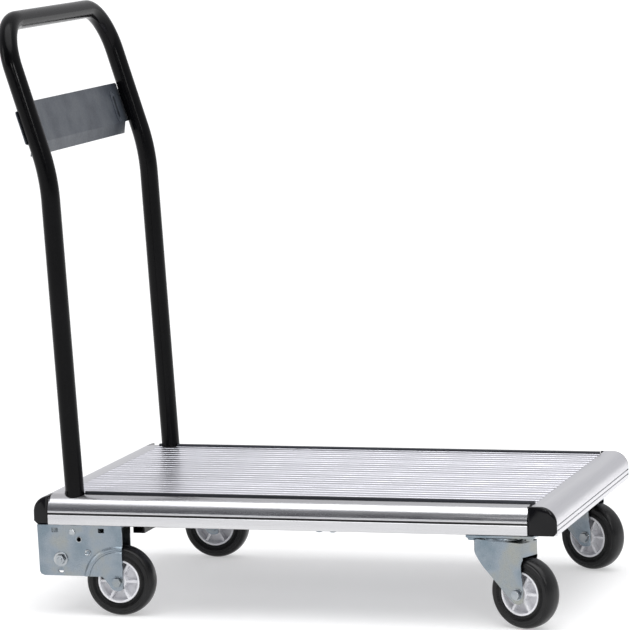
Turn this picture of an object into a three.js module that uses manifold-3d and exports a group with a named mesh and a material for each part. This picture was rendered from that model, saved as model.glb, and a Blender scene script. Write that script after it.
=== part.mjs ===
// Flatbed platform truck: ribbed aluminium deck in a frame of rounded rails, push handle with a
// cross plate, two fixed wheels under the handle end and two swivel casters under the front end.
// Millimetres, +Z up, +X towards the front, handle at -X. The group is centred over the floor.
import * as THREE from "three";
import { mergeVertices } from "three/addons/utils/BufferGeometryUtils.js";
import Module from "manifold-3d";

const wasm = await Module();
wasm.setup();

// ---------------------------------------------------------------- driving dimensions
const GAP = 0.3;                 // left between faces that touch
const WELD = 1e-4;               // corners closer than this are one corner
const HALF_WIDTH = 240;          // outer face of a side rail
const SEAM_Y = 213;              // inner edge of a side rail
const SEAM_X = 341.4;            // inner edge of the end rails
const REAR_X = -380;             // outer face of the rear rail
const FRONT_X = 377;             // outer face of the front rail
const SIDE_RAIL_X = [-357.5, 336];
const DECK_TOP = 170;
const RAIL_BOTTOM = 129.5;
const WALL = 2.5;                // wall of the aluminium extrusions

const PLANKS = 4;
const RIBS_PER_PLANK = 6;
const GROOVE = { width: 2.4, depth: 1.2 };
const STRIP = { width: 7, height: 3.6 };

const TUBE_RADIUS = 13.6;
const TUBE_WALL = 1.8;
const POST_Y = 214.5;
const POST_FOOT = new THREE.Vector2(-321, 92);
const POST_BEND = new THREE.Vector2(-346.4, 620.6);
const UPPER_LEAN = 17.2;         // degrees back from upright, above the bend
const GRIP_RISE = 225;           // from the bend to the middle of the grip, along the lean
const BEND_SETBACK = 36;
const CORNER_RADIUS = 68;

const WHEEL_RADIUS = 50;
const TREAD = 31;
const HUB_RADIUS = 30.8;
const REAR_AXLE_X = -256.6;
const REAR_WHEEL_Y = 220.3;
const SWIVEL = { x: 296.7, y: 215.7 };
const TRAIL = 34.9;
const CASTER_TURN = { right: -21, left: -22 };   // degrees about +Z as parked
const AXLE_RADIUS = 4;
const BORE_RADIUS = 6.3;

const SIDES = [["right", -1], ["left", 1]];

// ---------------------------------------------------------------- finishes
function finish(color, roughness, metalness) {
  return () => new THREE.MeshStandardMaterial({ color, roughness, metalness });
}
const deckAluminium = finish(0xd6d6dc, 0.35, 0.9);
const railAluminium = finish(0xc9cacf, 0.2, 0.95);
const zinc = finish(0x9fb2bd, 0.35, 0.85);
const blackSteel = finish(0x0c0c0e, 0.15, 0.2);
const slatePlate = finish(0x555b60, 0.4, 0.5);
const blackPlastic = finish(0x141416, 0.25, 0.0);
const rubber = finish(0x1b1b1c, 0.55, 0.0);
const hubPlastic = finish(0xe4e4e8, 0.35, 0.1);
const bronze = finish(0x8c7b52, 0.4, 0.8);

// ---------------------------------------------------------------- solids
// Positions only, shared vertices merged, and no triangle with two corners in one place.
function welded(geometry) {
  const bare = geometry.clone();
  bare.deleteAttribute("normal");
  bare.deleteAttribute("uv");
  const places = bare.attributes.position;
  for (let i = 0; i < places.count * 3; i += 1) {
    places.array[i] = Math.round(places.array[i] / WELD) * WELD;
  }
  const merged = mergeVertices(bare, WELD / 10);
  const { array } = merged.index;
  const kept = [];
  for (let i = 0; i < array.length; i += 3) {
    const [a, b, c] = [array[i], array[i + 1], array[i + 2]];
    if (a !== b && b !== c && c !== a) kept.push(a, b, c);
  }
  merged.setIndex(kept);
  return merged;
}

function toSolid(geometry) {
  const merged = welded(geometry);
  return new wasm.Manifold(new wasm.Mesh({
    numProp: 3,
    vertProperties: new Float32Array(merged.attributes.position.array),
    triVerts: new Uint32Array(merged.index.array),
  }));
}

function toGeometry(solid) {
  const mesh = solid.getMesh();
  const geometry = new THREE.BufferGeometry();
  geometry.setAttribute("position", new THREE.BufferAttribute(mesh.vertProperties, 3));
  geometry.setIndex(new THREE.BufferAttribute(mesh.triVerts, 1));
  return geometry;
}

function join(first, ...others) {
  return toGeometry(others.reduce((sum, item) => sum.add(toSolid(item)), toSolid(first)));
}

function cut(first, ...others) {
  return toGeometry(others.reduce((rest, item) => rest.subtract(toSolid(item)), toSolid(first)));
}

function box(low, high) {
  const size = high.map((value, axis) => value - low[axis]);
  const middle = high.map((value, axis) => (value + low[axis]) / 2);
  return new THREE.BoxGeometry(...size).translate(...middle);
}

// Cylinder or cone along Y, between two values of y.
function rodY(radius, x, z, y0, y1, sides = 16) {
  const rod = new THREE.CylinderGeometry(radius, radius, Math.abs(y1 - y0), sides);
  return rod.translate(x, (y0 + y1) / 2, z);
}

function rodZ(radius, x, y, z0, z1, sides = 16) {
  const rod = new THREE.CylinderGeometry(radius, radius, z1 - z0, sides).rotateX(Math.PI / 2);
  return rod.translate(x, y, (z0 + z1) / 2);
}

// Closed profile of [radius, along] points, turned about the Y axis.
function ringY(points, sides = 36) {
  const profile = points.map(([radius, along]) => new THREE.Vector2(radius, along));
  profile.push(profile[0].clone());
  return new THREE.LatheGeometry(profile, sides);
}

// Section of [y, z] points pushed along +X from x0 to x1.
function alongX(shape, x0, x1) {
  const solid = new THREE.ExtrudeGeometry(shape, { depth: x1 - x0, bevelEnabled: false, curveSegments: 6 });
  const frame = new THREE.Matrix4().makeBasis(
    new THREE.Vector3(0, 1, 0), new THREE.Vector3(0, 0, 1), new THREE.Vector3(1, 0, 0));
  return solid.applyMatrix4(frame).translate(x0, 0, 0);
}

// Section of [x, z] points pushed along Y from y0 to y1.
function alongY(shape, y0, y1) {
  const solid = new THREE.ExtrudeGeometry(shape, { depth: y1 - y0, bevelEnabled: false, curveSegments: 6 });
  return solid.rotateX(Math.PI / 2).translate(0, y1, 0);
}

function polygon(points) {
  return new THREE.Shape(points.map(([a, b]) => new THREE.Vector2(a, b)));
}

function mirrorY(geometry) {
  const flipped = welded(geometry).scale(1, -1, 1);
  const turned = Array.from(flipped.index.array);
  for (let i = 0; i < turned.length; i += 3) [turned[i], turned[i + 1]] = [turned[i + 1], turned[i]];
  flipped.setIndex(turned);
  return flipped;
}

function node(name, geometry, material) {
  const solid = welded(geometry);
  solid.computeVertexNormals();
  const mesh = new THREE.Mesh(solid, material());
  mesh.name = name;
  return mesh;
}

// The right-hand (-Y) piece is modelled; the left-hand one is its mirror image.
function pair(group, name, geometry, material) {
  group.add(node(`${name}_right`, geometry, material));
  group.add(node(`${name}_left`, mirrorY(geometry), material));
}

const truck = new THREE.Group();

// ---------------------------------------------------------------- rails
const RAIL = { radius: 23, grooveZ: 145, groove: 1.4 };

// Outline of a rail in (out, up): out is 0 at the seam and grows to `reach` at the outer face.
function railShape(reach, inner) {
  const shelf = reach - RAIL.radius;
  const shoulder = DECK_TOP - RAIL.radius;
  const shape = new THREE.Shape();
  shape.moveTo(0, DECK_TOP);
  shape.lineTo(0, DECK_TOP - WALL);
  shape.absarc(shelf, shoulder, RAIL.radius - WALL, Math.PI / 2, 0, true);
  shape.lineTo(reach - WALL, RAIL_BOTTOM + WALL);
  shape.lineTo(inner, RAIL_BOTTOM + WALL);
  shape.lineTo(inner, RAIL_BOTTOM);
  shape.lineTo(reach, RAIL_BOTTOM);
  shape.lineTo(reach, RAIL.grooveZ - RAIL.groove);
  shape.lineTo(reach - RAIL.groove, RAIL.grooveZ);
  shape.lineTo(reach, RAIL.grooveZ + RAIL.groove / 2);
  shape.absarc(shelf, shoulder, RAIL.radius, 0, Math.PI / 2, false);
  return shape;
}

const sideReach = HALF_WIDTH - SEAM_Y;
const frontReach = FRONT_X - SEAM_X;
const rearReach = -REAR_X - SEAM_X;
const postHoleZ = (DECK_TOP + RAIL_BOTTOM) / 2;
const postHoleX = POST_FOOT.x + (POST_BEND.x - POST_FOOT.x) * (postHoleZ - POST_FOOT.y)
  / (POST_BEND.y - POST_FOOT.y);
const postHole = rodZ(TUBE_RADIUS + 1.5, postHoleX, -POST_Y, RAIL_BOTTOM - 5, DECK_TOP + 10, 28);

function placeRail(shape, x0, x1) {
  return alongX(shape, x0, x1).rotateZ(Math.PI).translate(x0 + x1, 0, 0);
}
const sideRail = cut(
  placeRail(railShape(sideReach, 2), ...SIDE_RAIL_X).translate(0, -SEAM_Y, 0), postHole);
pair(truck, "side_rail", sideRail, railAluminium);

const END_HALF = HALF_WIDTH - 5;
function endRail(reach, half) {
  return alongX(railShape(reach, 2), -half, half).rotateZ(-Math.PI / 2);
}
truck.add(node("front_rail", endRail(frontReach, END_HALF).translate(SEAM_X, 0, 0), railAluminium));
const rearHalf = SEAM_Y + 3;
const rearRail = endRail(rearReach, rearHalf).rotateZ(Math.PI).translate(-SEAM_X, 0, 0);
truck.add(node("rear_rail", cut(rearRail,
  ...SIDES.map(([, sign]) => box(
    [SIDE_RAIL_X[0] - GAP, Math.min(sign * (SEAM_Y - GAP), sign * rearHalf * 1.1), 0],
    [0, Math.max(sign * (SEAM_Y - GAP), sign * rearHalf * 1.1), DECK_TOP * 1.2]))),
railAluminium));

// ---------------------------------------------------------------- corner caps
// D-shaped plastic caps that close the ends of the front and rear rails.
function capShape(reach, inner) {
  const chamfer = 5;
  const shape = new THREE.Shape();
  shape.moveTo(inner, RAIL_BOTTOM);
  shape.lineTo(reach - chamfer, RAIL_BOTTOM);
  shape.lineTo(reach, RAIL_BOTTOM + chamfer);
  const middle = reach - RAIL.radius;
  const turn = Math.acos(Math.max(inner - middle, 0) / RAIL.radius);
  shape.absarc(middle, DECK_TOP - RAIL.radius, RAIL.radius, 0, turn, false);
  if (inner < middle) shape.lineTo(inner, DECK_TOP);
  return shape;
}
const frontCap = alongY(capShape(frontReach, SIDE_RAIL_X[1] - SEAM_X + GAP),
  -HALF_WIDTH, -END_HALF - GAP).translate(SEAM_X, 0, 0);
pair(truck, "front_cap", frontCap, blackPlastic);
const rearCap = alongY(capShape(rearReach, -SEAM_X - SIDE_RAIL_X[0] + GAP), rearHalf + GAP, HALF_WIDTH)
  .rotateZ(Math.PI).translate(-SEAM_X, 0, 0);
pair(truck, "rear_cap", rearCap, blackPlastic);

// ---------------------------------------------------------------- deck planks and edge strips
const plankZone = 2 * (SEAM_Y - GAP);
const plankWidth = plankZone / PLANKS - GAP;
const plankX = [-SEAM_X + GAP, SEAM_X - GAP];
const ribPitch = plankWidth / RIBS_PER_PLANK;
const PLANK = { depth: 27, skin: 3, web: 2.4, foot: 9 };

function plankShape() {
  const low = DECK_TOP - PLANK.depth;
  const under = DECK_TOP - PLANK.skin;
  const shape = new THREE.Shape();
  shape.moveTo(0, low);
  shape.lineTo(PLANK.foot, low);
  shape.lineTo(PLANK.foot, low + PLANK.web);
  shape.lineTo(PLANK.web, low + PLANK.web);
  shape.lineTo(PLANK.web, under);
  const middle = plankWidth / 2;
  shape.lineTo(middle - PLANK.web / 2, under);
  shape.lineTo(middle - PLANK.web / 2, low);
  shape.lineTo(middle + PLANK.web / 2, low);
  shape.lineTo(middle + PLANK.web / 2, under);
  shape.lineTo(plankWidth - PLANK.web, under);
  shape.lineTo(plankWidth - PLANK.web, low + PLANK.web);
  shape.lineTo(plankWidth - PLANK.foot, low + PLANK.web);
  shape.lineTo(plankWidth - PLANK.foot, low);
  shape.lineTo(plankWidth, low);
  for (let rib = RIBS_PER_PLANK - 1; rib >= 0; rib -= 1) {
    const middleY = (rib + 0.5) * ribPitch;
    const edge = middleY + ribPitch / 2;
    if (rib === RIBS_PER_PLANK - 1) shape.lineTo(edge, DECK_TOP);
    shape.lineTo(middleY + GROOVE.width / 2, DECK_TOP);
    shape.lineTo(middleY + GROOVE.width / 4, DECK_TOP - GROOVE.depth);
    shape.lineTo(middleY - GROOVE.width / 4, DECK_TOP - GROOVE.depth);
    shape.lineTo(middleY - GROOVE.width / 2, DECK_TOP);
  }
  shape.lineTo(0, DECK_TOP);
  return shape;
}

const stripSlot = (sign) => {
  const inner = SEAM_Y - STRIP.width - GAP;
  return box(
    [plankX[0] - 1, sign < 0 ? -SEAM_Y - 1 : inner, DECK_TOP - GROOVE.depth],
    [plankX[1] + 1, sign < 0 ? -inner : SEAM_Y + 1, DECK_TOP + 1]);
};
for (let index = 0; index < PLANKS; index += 1) {
  const y0 = -plankZone / 2 + GAP / 2 + index * (plankWidth + GAP);
  let plank = alongX(plankShape(), ...plankX).translate(0, y0, 0);
  if (index === 0) plank = cut(plank, postHole, stripSlot(-1));
  if (index === PLANKS - 1) plank = cut(plank, mirrorY(postHole), stripSlot(1));
  truck.add(node(`deck_plank_${index + 1}`, plank, deckAluminium));
}

const stripBase = DECK_TOP - GROOVE.depth + GAP;
const stripInset = SEAM_Y - STRIP.width;
const strip = polygon([
  [-SEAM_Y + GAP, stripBase], [-stripInset, stripBase], [-stripInset - 1, DECK_TOP + STRIP.height - 1],
  [-stripInset - 2.4, DECK_TOP + STRIP.height], [-SEAM_Y + 2, DECK_TOP + STRIP.height],
  [-SEAM_Y + GAP, DECK_TOP + STRIP.height - 1.2]]);
const stripStart = postHoleX + TUBE_RADIUS + 1;
pair(truck, "edge_strip", alongX(strip, stripStart, plankX[1] - GAP), blackPlastic);

// ---------------------------------------------------------------- cross-members
const CROSS = { depth: 17.5, wall: 3, top: DECK_TOP - PLANK.depth - GAP };
function crossMember(name, x, width, halfLength) {
  const bottom = RAIL_BOTTOM - CROSS.depth;
  const shape = polygon([
    [x, bottom], [x + width, bottom], [x + width, CROSS.top], [x + width - CROSS.wall, CROSS.top],
    [x + width - CROSS.wall, bottom + CROSS.wall], [x + CROSS.wall, bottom + CROSS.wall],
    [x + CROSS.wall, CROSS.top], [x, CROSS.top]]);
  truck.add(node(name, alongY(shape, -halfLength, halfLength), blackSteel));
}
crossMember("rear_cross_member", -247, 17, SEAM_Y - 20);
const MID_X = 33;
truck.add(node("middle_cross_member", alongY(polygon([
  [MID_X, RAIL_BOTTOM + WALL + GAP], [MID_X + 40, RAIL_BOTTOM + WALL + GAP],
  [MID_X + 40, CROSS.top], [MID_X, CROSS.top]]), -SEAM_Y + 4, SEAM_Y - 4), zinc));
truck.add(node("front_cross_member", alongY(polygon([
  [SWIVEL.x - 45, RAIL_BOTTOM + GAP], [SWIVEL.x + 38, RAIL_BOTTOM + GAP], [SWIVEL.x + 38, CROSS.top],
  [SWIVEL.x - 45, CROSS.top]]), -SEAM_Y + 4, SEAM_Y - 4), blackSteel));

// ---------------------------------------------------------------- rear wheel brackets
const BRACKET = {
  x: [-374.8, -249], top: RAIL_BOTTOM - GAP, bottom: 57, sheet: 2.5, inner: 199.8, step: 2,
  stepRadius: 47, ear: 13,
};
const BOLT_HOLE = { x: -340.6, z: 80.6, radius: 4.3 };
const PIN_HOLE = { x: -322.4, z: 119.4, radius: 3.2 };
const SPARE_HOLE = { x: -312.6, z: 109.3, radius: 3 };

function bracketSide() {
  const shape = new THREE.Shape();
  const [left, right] = BRACKET.x;
  shape.moveTo(left, BRACKET.top);
  shape.lineTo(left + 2, BRACKET.bottom + 5);
  shape.lineTo(left + 8, BRACKET.bottom);
  shape.lineTo(REAR_AXLE_X - BRACKET.ear - 8, BRACKET.bottom);
  shape.lineTo(REAR_AXLE_X - BRACKET.ear + 1, WHEEL_RADIUS - 4);
  shape.absarc(REAR_AXLE_X, WHEEL_RADIUS, BRACKET.ear, Math.PI * 1.1, Math.PI * 1.7, false);
  shape.lineTo(right, WHEEL_RADIUS - 6);
  shape.lineTo(right, BRACKET.top);
  return shape;
}

function bracketHoles(y0, y1) {
  return [
    rodY(BOLT_HOLE.radius, BOLT_HOLE.x, BOLT_HOLE.z, y0, y1, 12),
    rodY(PIN_HOLE.radius, PIN_HOLE.x, PIN_HOLE.z, y0, y1, 12),
    rodY(SPARE_HOLE.radius, SPARE_HOLE.x, SPARE_HOLE.z, y0, y1, 12),
    rodY(AXLE_RADIUS + GAP, REAR_AXLE_X, WHEEL_RADIUS, y0, y1, 12),
  ];
}

function rearBracket() {
  const outer = -HALF_WIDTH;
  const back = outer + BRACKET.step;
  const plate = alongY(bracketSide(), back, back + BRACKET.sheet);
  const inner = alongY(bracketSide(), -BRACKET.inner - BRACKET.sheet, -BRACKET.inner);
  const flange = box([BRACKET.x[0], back, BRACKET.top - BRACKET.sheet],
    [BRACKET.x[1], -BRACKET.inner, BRACKET.top]);
  const postSlot = rodZ(TUBE_RADIUS + 1.5, postHoleX + 2, -POST_Y, BRACKET.bottom, DECK_TOP, 16);
  const notch = box([postHoleX - TUBE_RADIUS, -POST_Y, BRACKET.bottom],
    [postHoleX + TUBE_RADIUS + 3, -BRACKET.inner - BRACKET.sheet - GAP, DECK_TOP]);
  const pocket = toSolid(rodY(BRACKET.stepRadius - 2.5, REAR_AXLE_X, WHEEL_RADIUS,
    back + BRACKET.sheet - BRACKET.step, back + BRACKET.sheet + 1, 32));
  const step = toSolid(rodY(BRACKET.stepRadius, REAR_AXLE_X, WHEEL_RADIUS, outer,
    outer + BRACKET.sheet, 32));
  const silhouette = toSolid(alongY(bracketSide(), outer - 1, back + BRACKET.sheet + 1));
  const stepped = toSolid(plate).add(step.intersect(silhouette)).subtract(pocket);
  const holes = bracketHoles(outer - 5, -BRACKET.inner + 5);
  return cut(toGeometry(stepped.add(toSolid(inner)).add(toSolid(flange))), postSlot, notch, ...holes);
}
const bracket = rearBracket();
pair(truck, "rear_bracket", bracket, zinc);

// ---------------------------------------------------------------- bolts, nuts and pins
function hexY(radius, x, z, y0, y1) {
  const head = new THREE.CylinderGeometry(radius, radius, y1 - y0, 6);
  return head.translate(x, (y0 + y1) / 2, z);
}

// Bolt with a hex head and washer outside the -Y face and its shank running to +Y.
function boltY(x, z, radius, face, tip) {
  const washer = rodY(radius * 2.1, x, z, face - 1.2, face, 20);
  const head = hexY(radius * 1.75, x, z, face - 1.2 - radius * 1.25, face - 1);
  return join(rodY(radius, x, z, face - 1, tip, 16), washer, head);
}

function nutY(x, z, radius, face) {
  const body = hexY(radius * 1.75, x, z, face, face + radius * 1.6);
  return cut(body, rodY(radius + GAP, x, z, face - 1, face + radius * 2, 16));
}

const innerFace = -BRACKET.inner + GAP;
const bracketFace = -HALF_WIDTH + BRACKET.step - GAP;
pair(truck, "bracket_bolt", boltY(BOLT_HOLE.x, BOLT_HOLE.z, 4, bracketFace, innerFace + 9), zinc);
pair(truck, "bracket_nut", nutY(BOLT_HOLE.x, BOLT_HOLE.z, 4, innerFace), zinc);
const PIN = { shank: 2.8, head: 4.6, headHeight: 1.6 };
const pinHead = rodY(PIN.head, PIN_HOLE.x, PIN_HOLE.z, bracketFace - PIN.headHeight, bracketFace, 20);
const pinTail = rodY(PIN.head, PIN_HOLE.x, PIN_HOLE.z, innerFace, innerFace + PIN.headHeight, 20);
const pinShank = rodY(PIN.shank, PIN_HOLE.x, PIN_HOLE.z, bracketFace - 1, innerFace + 1, 16);
const pin = join(pinShank, pinHead, pinTail);
pair(truck, "handle_pin", pin, zinc);

// ---------------------------------------------------------------- handle
const lean = THREE.MathUtils.degToRad(UPPER_LEAN);
const upperDir = new THREE.Vector2(-Math.sin(lean), Math.cos(lean));
const lowerDir = POST_BEND.clone().sub(POST_FOOT).normalize();

// A point of the handle: (x, z) in its side view, and y.
function handlePoint(side, y) {
  return new THREE.Vector3(side.x, y, side.y);
}

function onUpper(distance) {
  return POST_BEND.clone().addScaledVector(upperDir, distance);
}

function handlePath() {
  const belowBend = POST_BEND.clone().addScaledVector(lowerDir, -BEND_SETBACK);
  const aboveBend = onUpper(BEND_SETBACK);
  const cornerStart = onUpper(GRIP_RISE - CORNER_RADIUS);
  const grip = onUpper(GRIP_RISE);
  const half = [];
  half.push(new THREE.LineCurve3(handlePoint(POST_FOOT, -POST_Y), handlePoint(belowBend, -POST_Y)));
  half.push(new THREE.QuadraticBezierCurve3(handlePoint(belowBend, -POST_Y),
    handlePoint(POST_BEND, -POST_Y), handlePoint(aboveBend, -POST_Y)));
  half.push(new THREE.LineCurve3(handlePoint(aboveBend, -POST_Y), handlePoint(cornerStart, -POST_Y)));
  return { half, cornerStart, grip };
}

// Points along the whole handle, from the right foot over the grip to the left foot.
function handlePoints() {
  const { half, cornerStart, grip } = handlePath();
  const counts = [1, 4, 1];
  const points = [];
  half.forEach((curve, index) => {
    const steps = curve.getPoints(counts[index]);
    points.push(...(index === 0 ? steps : steps.slice(1)));
  });
  const cornerSteps = 6;
  for (let step = 1; step <= cornerSteps; step += 1) {
    const angle = (Math.PI / 2) * (step / cornerSteps);
    const up = cornerStart.clone().addScaledVector(upperDir, CORNER_RADIUS * Math.sin(angle));
    points.push(handlePoint(up, -POST_Y + CORNER_RADIUS * (1 - Math.cos(angle))));
  }
  const mirrored = points.slice().reverse().map((point) => new THREE.Vector3(point.x, -point.y, point.z));
  return [...points, handlePoint(grip, 0), ...mirrored];
}

// A curve that passes straight through its points, one step for each.
class PointPath extends THREE.Curve {
  constructor(points) {
    super();
    this.points = points;
  }

  getPoint(t, target = new THREE.Vector3()) {
    const place = t * (this.points.length - 1);
    const index = Math.min(Math.floor(place), this.points.length - 2);
    return target.copy(this.points[index]).lerp(this.points[index + 1], place - index);
  }

  getPointAt(t, target) {
    return this.getPoint(t, target);
  }

  getTangentAt(t) {
    const place = Math.round(t * (this.points.length - 1));
    const before = this.points[Math.max(place - 1, 0)];
    const after = this.points[Math.min(place + 1, this.points.length - 1)];
    return after.clone().sub(before).normalize();
  }
}

function circleShape(radius, sides) {
  return new THREE.Shape(Array.from({ length: sides }, (_, index) => {
    const angle = (2 * Math.PI * index) / sides;
    return new THREE.Vector2(radius * Math.cos(angle), radius * Math.sin(angle));
  }));
}

const handleRoute = handlePoints();
function handleSweep(route, radius, sides) {
  return new THREE.ExtrudeGeometry(circleShape(radius, sides), {
    steps: route.length - 1, extrudePath: new PointPath(route), bevelEnabled: false,
  });
}
const belowFoot = POST_FOOT.clone().addScaledVector(lowerDir, -5);
const boreRoute = [handlePoint(belowFoot, -POST_Y), ...handleRoute, handlePoint(belowFoot, POST_Y)];
const tube = cut(handleSweep(handleRoute, TUBE_RADIUS, 14),
  handleSweep(boreRoute, TUBE_RADIUS - TUBE_WALL, 8),
  rodY(PIN_HOLE.radius, PIN_HOLE.x, PIN_HOLE.z, -HALF_WIDTH, HALF_WIDTH, 16));
truck.add(node("handle_tube", tube, blackSteel));

// ---------------------------------------------------------------- handle plate
const PLATE = {
  low: 33, high: 110, fold: 50, sheet: 1.5, half: 212, ear: 222, earStep: 2, earHigh: 100,
  slotY: 178, slotWidth: 13, slotLow: 52, slotHigh: 97, flangeTurn: 24,
};
function slotShape(y) {
  const half = PLATE.slotWidth / 2;
  const slot = new THREE.Path();
  slot.moveTo(y - half, PLATE.slotLow + half);
  slot.absarc(y, PLATE.slotHigh - half, half, Math.PI, 0, true);
  slot.absarc(y, PLATE.slotLow + half, half, 0, -Math.PI, true);
  return slot;
}

function handlePlate() {
  const shape = polygon([
    [-PLATE.half, PLATE.fold], [PLATE.half, PLATE.fold], [PLATE.ear, PLATE.fold + PLATE.earStep],
    [PLATE.ear, PLATE.earHigh], [PLATE.half, PLATE.earHigh], [PLATE.half, PLATE.high],
    [-PLATE.half, PLATE.high], [-PLATE.half, PLATE.earHigh], [-PLATE.ear, PLATE.earHigh],
    [-PLATE.ear, PLATE.fold + PLATE.earStep]]);
  shape.holes.push(slotShape(-PLATE.slotY), slotShape(PLATE.slotY));
  const face = new THREE.ExtrudeGeometry(shape, {
    depth: PLATE.sheet, bevelEnabled: false, curveSegments: 4,
  });
  const flangeHalf = POST_Y - TUBE_RADIUS - 1;
  const flange = box([-flangeHalf, PLATE.low - PLATE.fold, 0], [flangeHalf, 0.4, PLATE.sheet])
    .rotateX(THREE.MathUtils.degToRad(PLATE.flangeTurn)).translate(0, PLATE.fold, 0);
  const whole = join(face, flange);
  // (along Y, up the lean, out of the plane) becomes (x, y, z)
  const frame = new THREE.Matrix4().makeBasis(
    new THREE.Vector3(0, 1, 0), new THREE.Vector3(upperDir.x, 0, upperDir.y),
    new THREE.Vector3(upperDir.y, 0, -upperDir.x));
  const back = -TUBE_RADIUS - PLATE.sheet - GAP;
  return whole.applyMatrix4(frame).translate(
    POST_BEND.x + upperDir.y * back, 0, POST_BEND.y - upperDir.x * back);
}
truck.add(node("handle_plate", handlePlate(), slatePlate));

// ---------------------------------------------------------------- wheels
const half = TREAD / 2;
const tyre = ringY([
  [HUB_RADIUS + GAP, -half], [WHEEL_RADIUS - 6, -half], [WHEEL_RADIUS - 2, -half * 0.72],
  [WHEEL_RADIUS, -half * 0.3], [WHEEL_RADIUS, half * 0.3], [WHEEL_RADIUS - 2, half * 0.72],
  [WHEEL_RADIUS - 6, half], [HUB_RADIUS + GAP, half]], 40);

const HUB = { rim: 3.2, web: 5, boss: 10.5, bossHalf: 15.2, ribs: 6, ribWidth: 3.4, ribHalf: 12.5 };
function hubGeometry() {
  const rimInner = HUB_RADIUS - HUB.rim;
  const rim = half - 0.8;
  const body = ringY([
    [BORE_RADIUS, -HUB.bossHalf], [HUB.boss, -HUB.bossHalf], [HUB.boss, -HUB.web / 2],
    [rimInner, -HUB.web / 2], [rimInner, -rim], [HUB_RADIUS, -rim], [HUB_RADIUS, rim],
    [rimInner, rim], [rimInner, HUB.web / 2], [HUB.boss, HUB.web / 2], [HUB.boss, HUB.bossHalf],
    [BORE_RADIUS, HUB.bossHalf]], 24);
  const ribs = Array.from({ length: HUB.ribs }, (_, index) => box(
    [HUB.boss - 1, -HUB.ribHalf, -HUB.ribWidth / 2], [rimInner + 1, HUB.ribHalf, HUB.ribWidth / 2])
    .rotateY((2 * Math.PI * index) / HUB.ribs));
  return join(body, ...ribs);
}
const hub = hubGeometry();
const SPACER_HALF = 17;
const bush = ringY([
  [AXLE_RADIUS + GAP, -SPACER_HALF], [BORE_RADIUS - GAP, -SPACER_HALF],
  [BORE_RADIUS - GAP, SPACER_HALF], [AXLE_RADIUS + GAP, SPACER_HALF]], 20);

// Adds the turning pieces of one wheel to `group`, which carries the axle line as its Y axis.
function addWheel(group, name) {
  group.add(node(`${name}_tyre`, tyre.clone(), rubber));
  group.add(node(`${name}_hub`, hub.clone(), hubPlastic));
  group.add(node(`${name}_bush`, bush.clone(), bronze));
}

for (const [side, sign] of SIDES) {
  const wheel = new THREE.Group();
  wheel.position.set(REAR_AXLE_X, sign * REAR_WHEEL_Y, WHEEL_RADIUS);
  addWheel(wheel, `rear_wheel_${side}`);
  truck.add(wheel);
}
const rearAxleFace = -HALF_WIDTH - GAP;
pair(truck, "rear_axle",
  boltY(REAR_AXLE_X, WHEEL_RADIUS, AXLE_RADIUS, rearAxleFace, innerFace + 9), zinc);
pair(truck, "rear_axle_nut", nutY(REAR_AXLE_X, WHEEL_RADIUS, AXLE_RADIUS, innerFace), zinc);

// ---------------------------------------------------------------- swivel casters
const CASTER = {
  plate: [48, 24.5, 3.2], race: 27, raceHeight: 4.4, sheet: 2.6,
  legInner: 17.8, crownFront: 45, crownRear: -37.5, crownCorner: 7, rearCorner: 5, kingpin: 6, collar: 15,
};
// The rear edge drops from the crown, pulls into a straight slope at the bend, and meets the axle boss.
const LEG = {
  rearLow: 108, pull: [-33, 97], bend: [-20, 83], boss: 14,
  frontLow: 56, frontHigh: 94, frontX: 43, waistX: 41, shoulder: 98,
};
const COLLAR_DROP = 1.5;         // the kingpin collar hangs this far under the crown
const plateTop = RAIL_BOTTOM - GAP;
const plateBottom = plateTop - CASTER.plate[2];
const PLATE_HOLE = { x: 40, y: 17, radius: 4.4 };

function casterPlate() {
  const [halfX, halfY] = CASTER.plate;
  const holes = [[1, 1], [1, -1], [-1, 1], [-1, -1]].map(([a, b]) => rodZ(
    PLATE_HOLE.radius, a * PLATE_HOLE.x, b * PLATE_HOLE.y, plateBottom - 1, plateTop + 1, 8));
  return cut(box([-halfX, -halfY, plateBottom], [halfX, halfY, plateTop]), ...holes,
    rodZ(CASTER.kingpin + GAP, 0, 0, plateBottom - 1, plateTop + 1, 20));
}

function ringZ(inner, outer, z0, z1, sides = 20) {
  return ringY([[inner, z0], [outer, z0], [outer, z1], [inner, z1]], sides).rotateX(Math.PI / 2);
}

const raceBottom = plateBottom - GAP - CASTER.raceHeight;
function race() {
  return ringY([
    [CASTER.kingpin + GAP, raceBottom + 1.4], [CASTER.race - 5, raceBottom + 1.4],
    [CASTER.race - 5, raceBottom], [CASTER.race, raceBottom], [CASTER.race, plateBottom - GAP - 1.4],
    [CASTER.race - 2, plateBottom - GAP], [CASTER.kingpin + GAP, plateBottom - GAP]], 24)
    .rotateX(Math.PI / 2);
}

function legShape() {
  const shape = new THREE.Shape();
  const top = raceBottom - GAP - 1;
  const [runX, runZ] = [TRAIL - LEG.bend[0], WHEEL_RADIUS - LEG.bend[1]];
  const slope = Math.atan2(runZ, runX) - Math.asin(LEG.boss / Math.hypot(runX, runZ));
  const frontAngle = -Math.acos((LEG.frontX - TRAIL) / LEG.boss);
  shape.moveTo(CASTER.crownRear, top);
  shape.lineTo(CASTER.crownRear, LEG.rearLow);
  shape.quadraticCurveTo(...LEG.pull, ...LEG.bend);
  shape.absarc(TRAIL, WHEEL_RADIUS, LEG.boss, slope - Math.PI / 2, frontAngle, false);
  shape.lineTo(LEG.frontX, LEG.frontLow);
  shape.lineTo(LEG.waistX, LEG.frontHigh);
  shape.lineTo(CASTER.crownFront, LEG.shoulder);
  shape.lineTo(CASTER.crownFront, top);
  return shape;
}

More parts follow.
